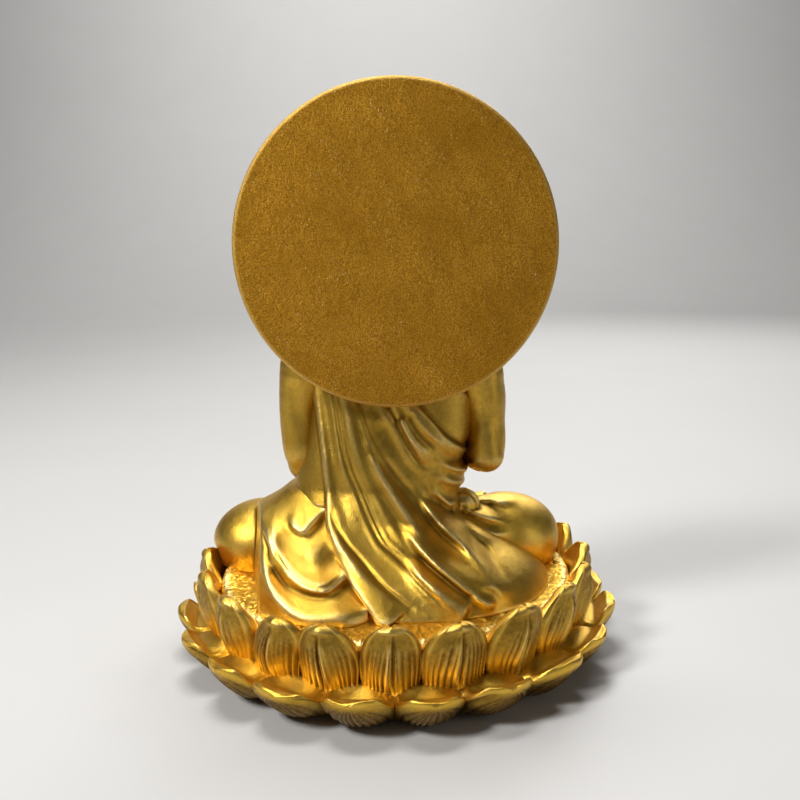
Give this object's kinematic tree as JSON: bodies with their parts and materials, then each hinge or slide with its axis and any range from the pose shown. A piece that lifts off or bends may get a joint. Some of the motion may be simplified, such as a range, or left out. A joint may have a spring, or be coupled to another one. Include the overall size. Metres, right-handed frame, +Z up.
{
  "type": "seated buddha statue",
  "caption": "Gold seated Buddha with a flat round halo, hands folded in the lap, robe over the left shoulder, on a two-row lotus throne with a felt underside.",
  "frame": {"origin": "centre of the underside of the lotus throne, on the surface it stands on", "axes": "+Z up; the figure faces -Y and its flat halo back faces +Y; its own left side is +X"},
  "size_m": [0.1044, 0.1044, 0.1303],
  "materials": {
    "gold": "warm metallic gold paint over resin with brown wash in the hollows",
    "rough_gold": "dull sandy gold with fine glittering grain",
    "felt": "thin black felt",
    "peg": "plain turned pin"
  },
  "bodies": {
    "root": {"felt_pad": "felt", "lotus_core": "gold", "lotus_seat": "gold", "lower_petal_01": "gold", "lower_petal_02": "gold", "lower_petal_03": "gold", "lower_petal_04": "gold", "lower_petal_05": "gold", "lower_petal_06": "gold", "lower_petal_07": "gold", "lower_petal_08": "gold", "lower_petal_09": "gold", "lower_petal_10": "gold", "lower_petal_11": "gold", "lower_petal_12": "gold", "lower_petal_13": "gold", "lower_petal_14": "gold", "lower_petal_15": "gold", "lower_petal_16": "gold", "lower_petal_17": "gold", "lower_petal_18": "gold", "lower_petal_19": "gold", "lower_petal_20": "gold", "upper_petal_01": "gold", "upper_petal_02": "gold", "upper_petal_03": "gold", "upper_petal_04": "gold", "upper_petal_05": "gold", "upper_petal_06": "gold", "upper_petal_07": "gold", "upper_petal_08": "gold", "upper_petal_09": "gold", "upper_petal_10": "gold", "upper_petal_11": "gold", "upper_petal_12": "gold", "upper_petal_13": "gold", "upper_petal_14": "gold", "upper_petal_15": "gold", "upper_petal_16": "gold", "upper_petal_17": "gold", "upper_petal_18": "gold", "upper_petal_19": "gold", "upper_petal_20": "gold", "left_leg": "gold", "right_leg": "gold", "lower_robe": "gold", "torso": "gold", "outer_robe": "gold", "left_arm": "gold", "right_arm": "gold", "left_hand": "gold", "right_hand": "gold", "head": "gold", "hair": "gold", "left_ear": "gold", "right_ear": "gold", "halo_disc": "rough_gold", "halo_relief": "gold", "halo_pegs": "peg"}
  },
  "joints": []
}
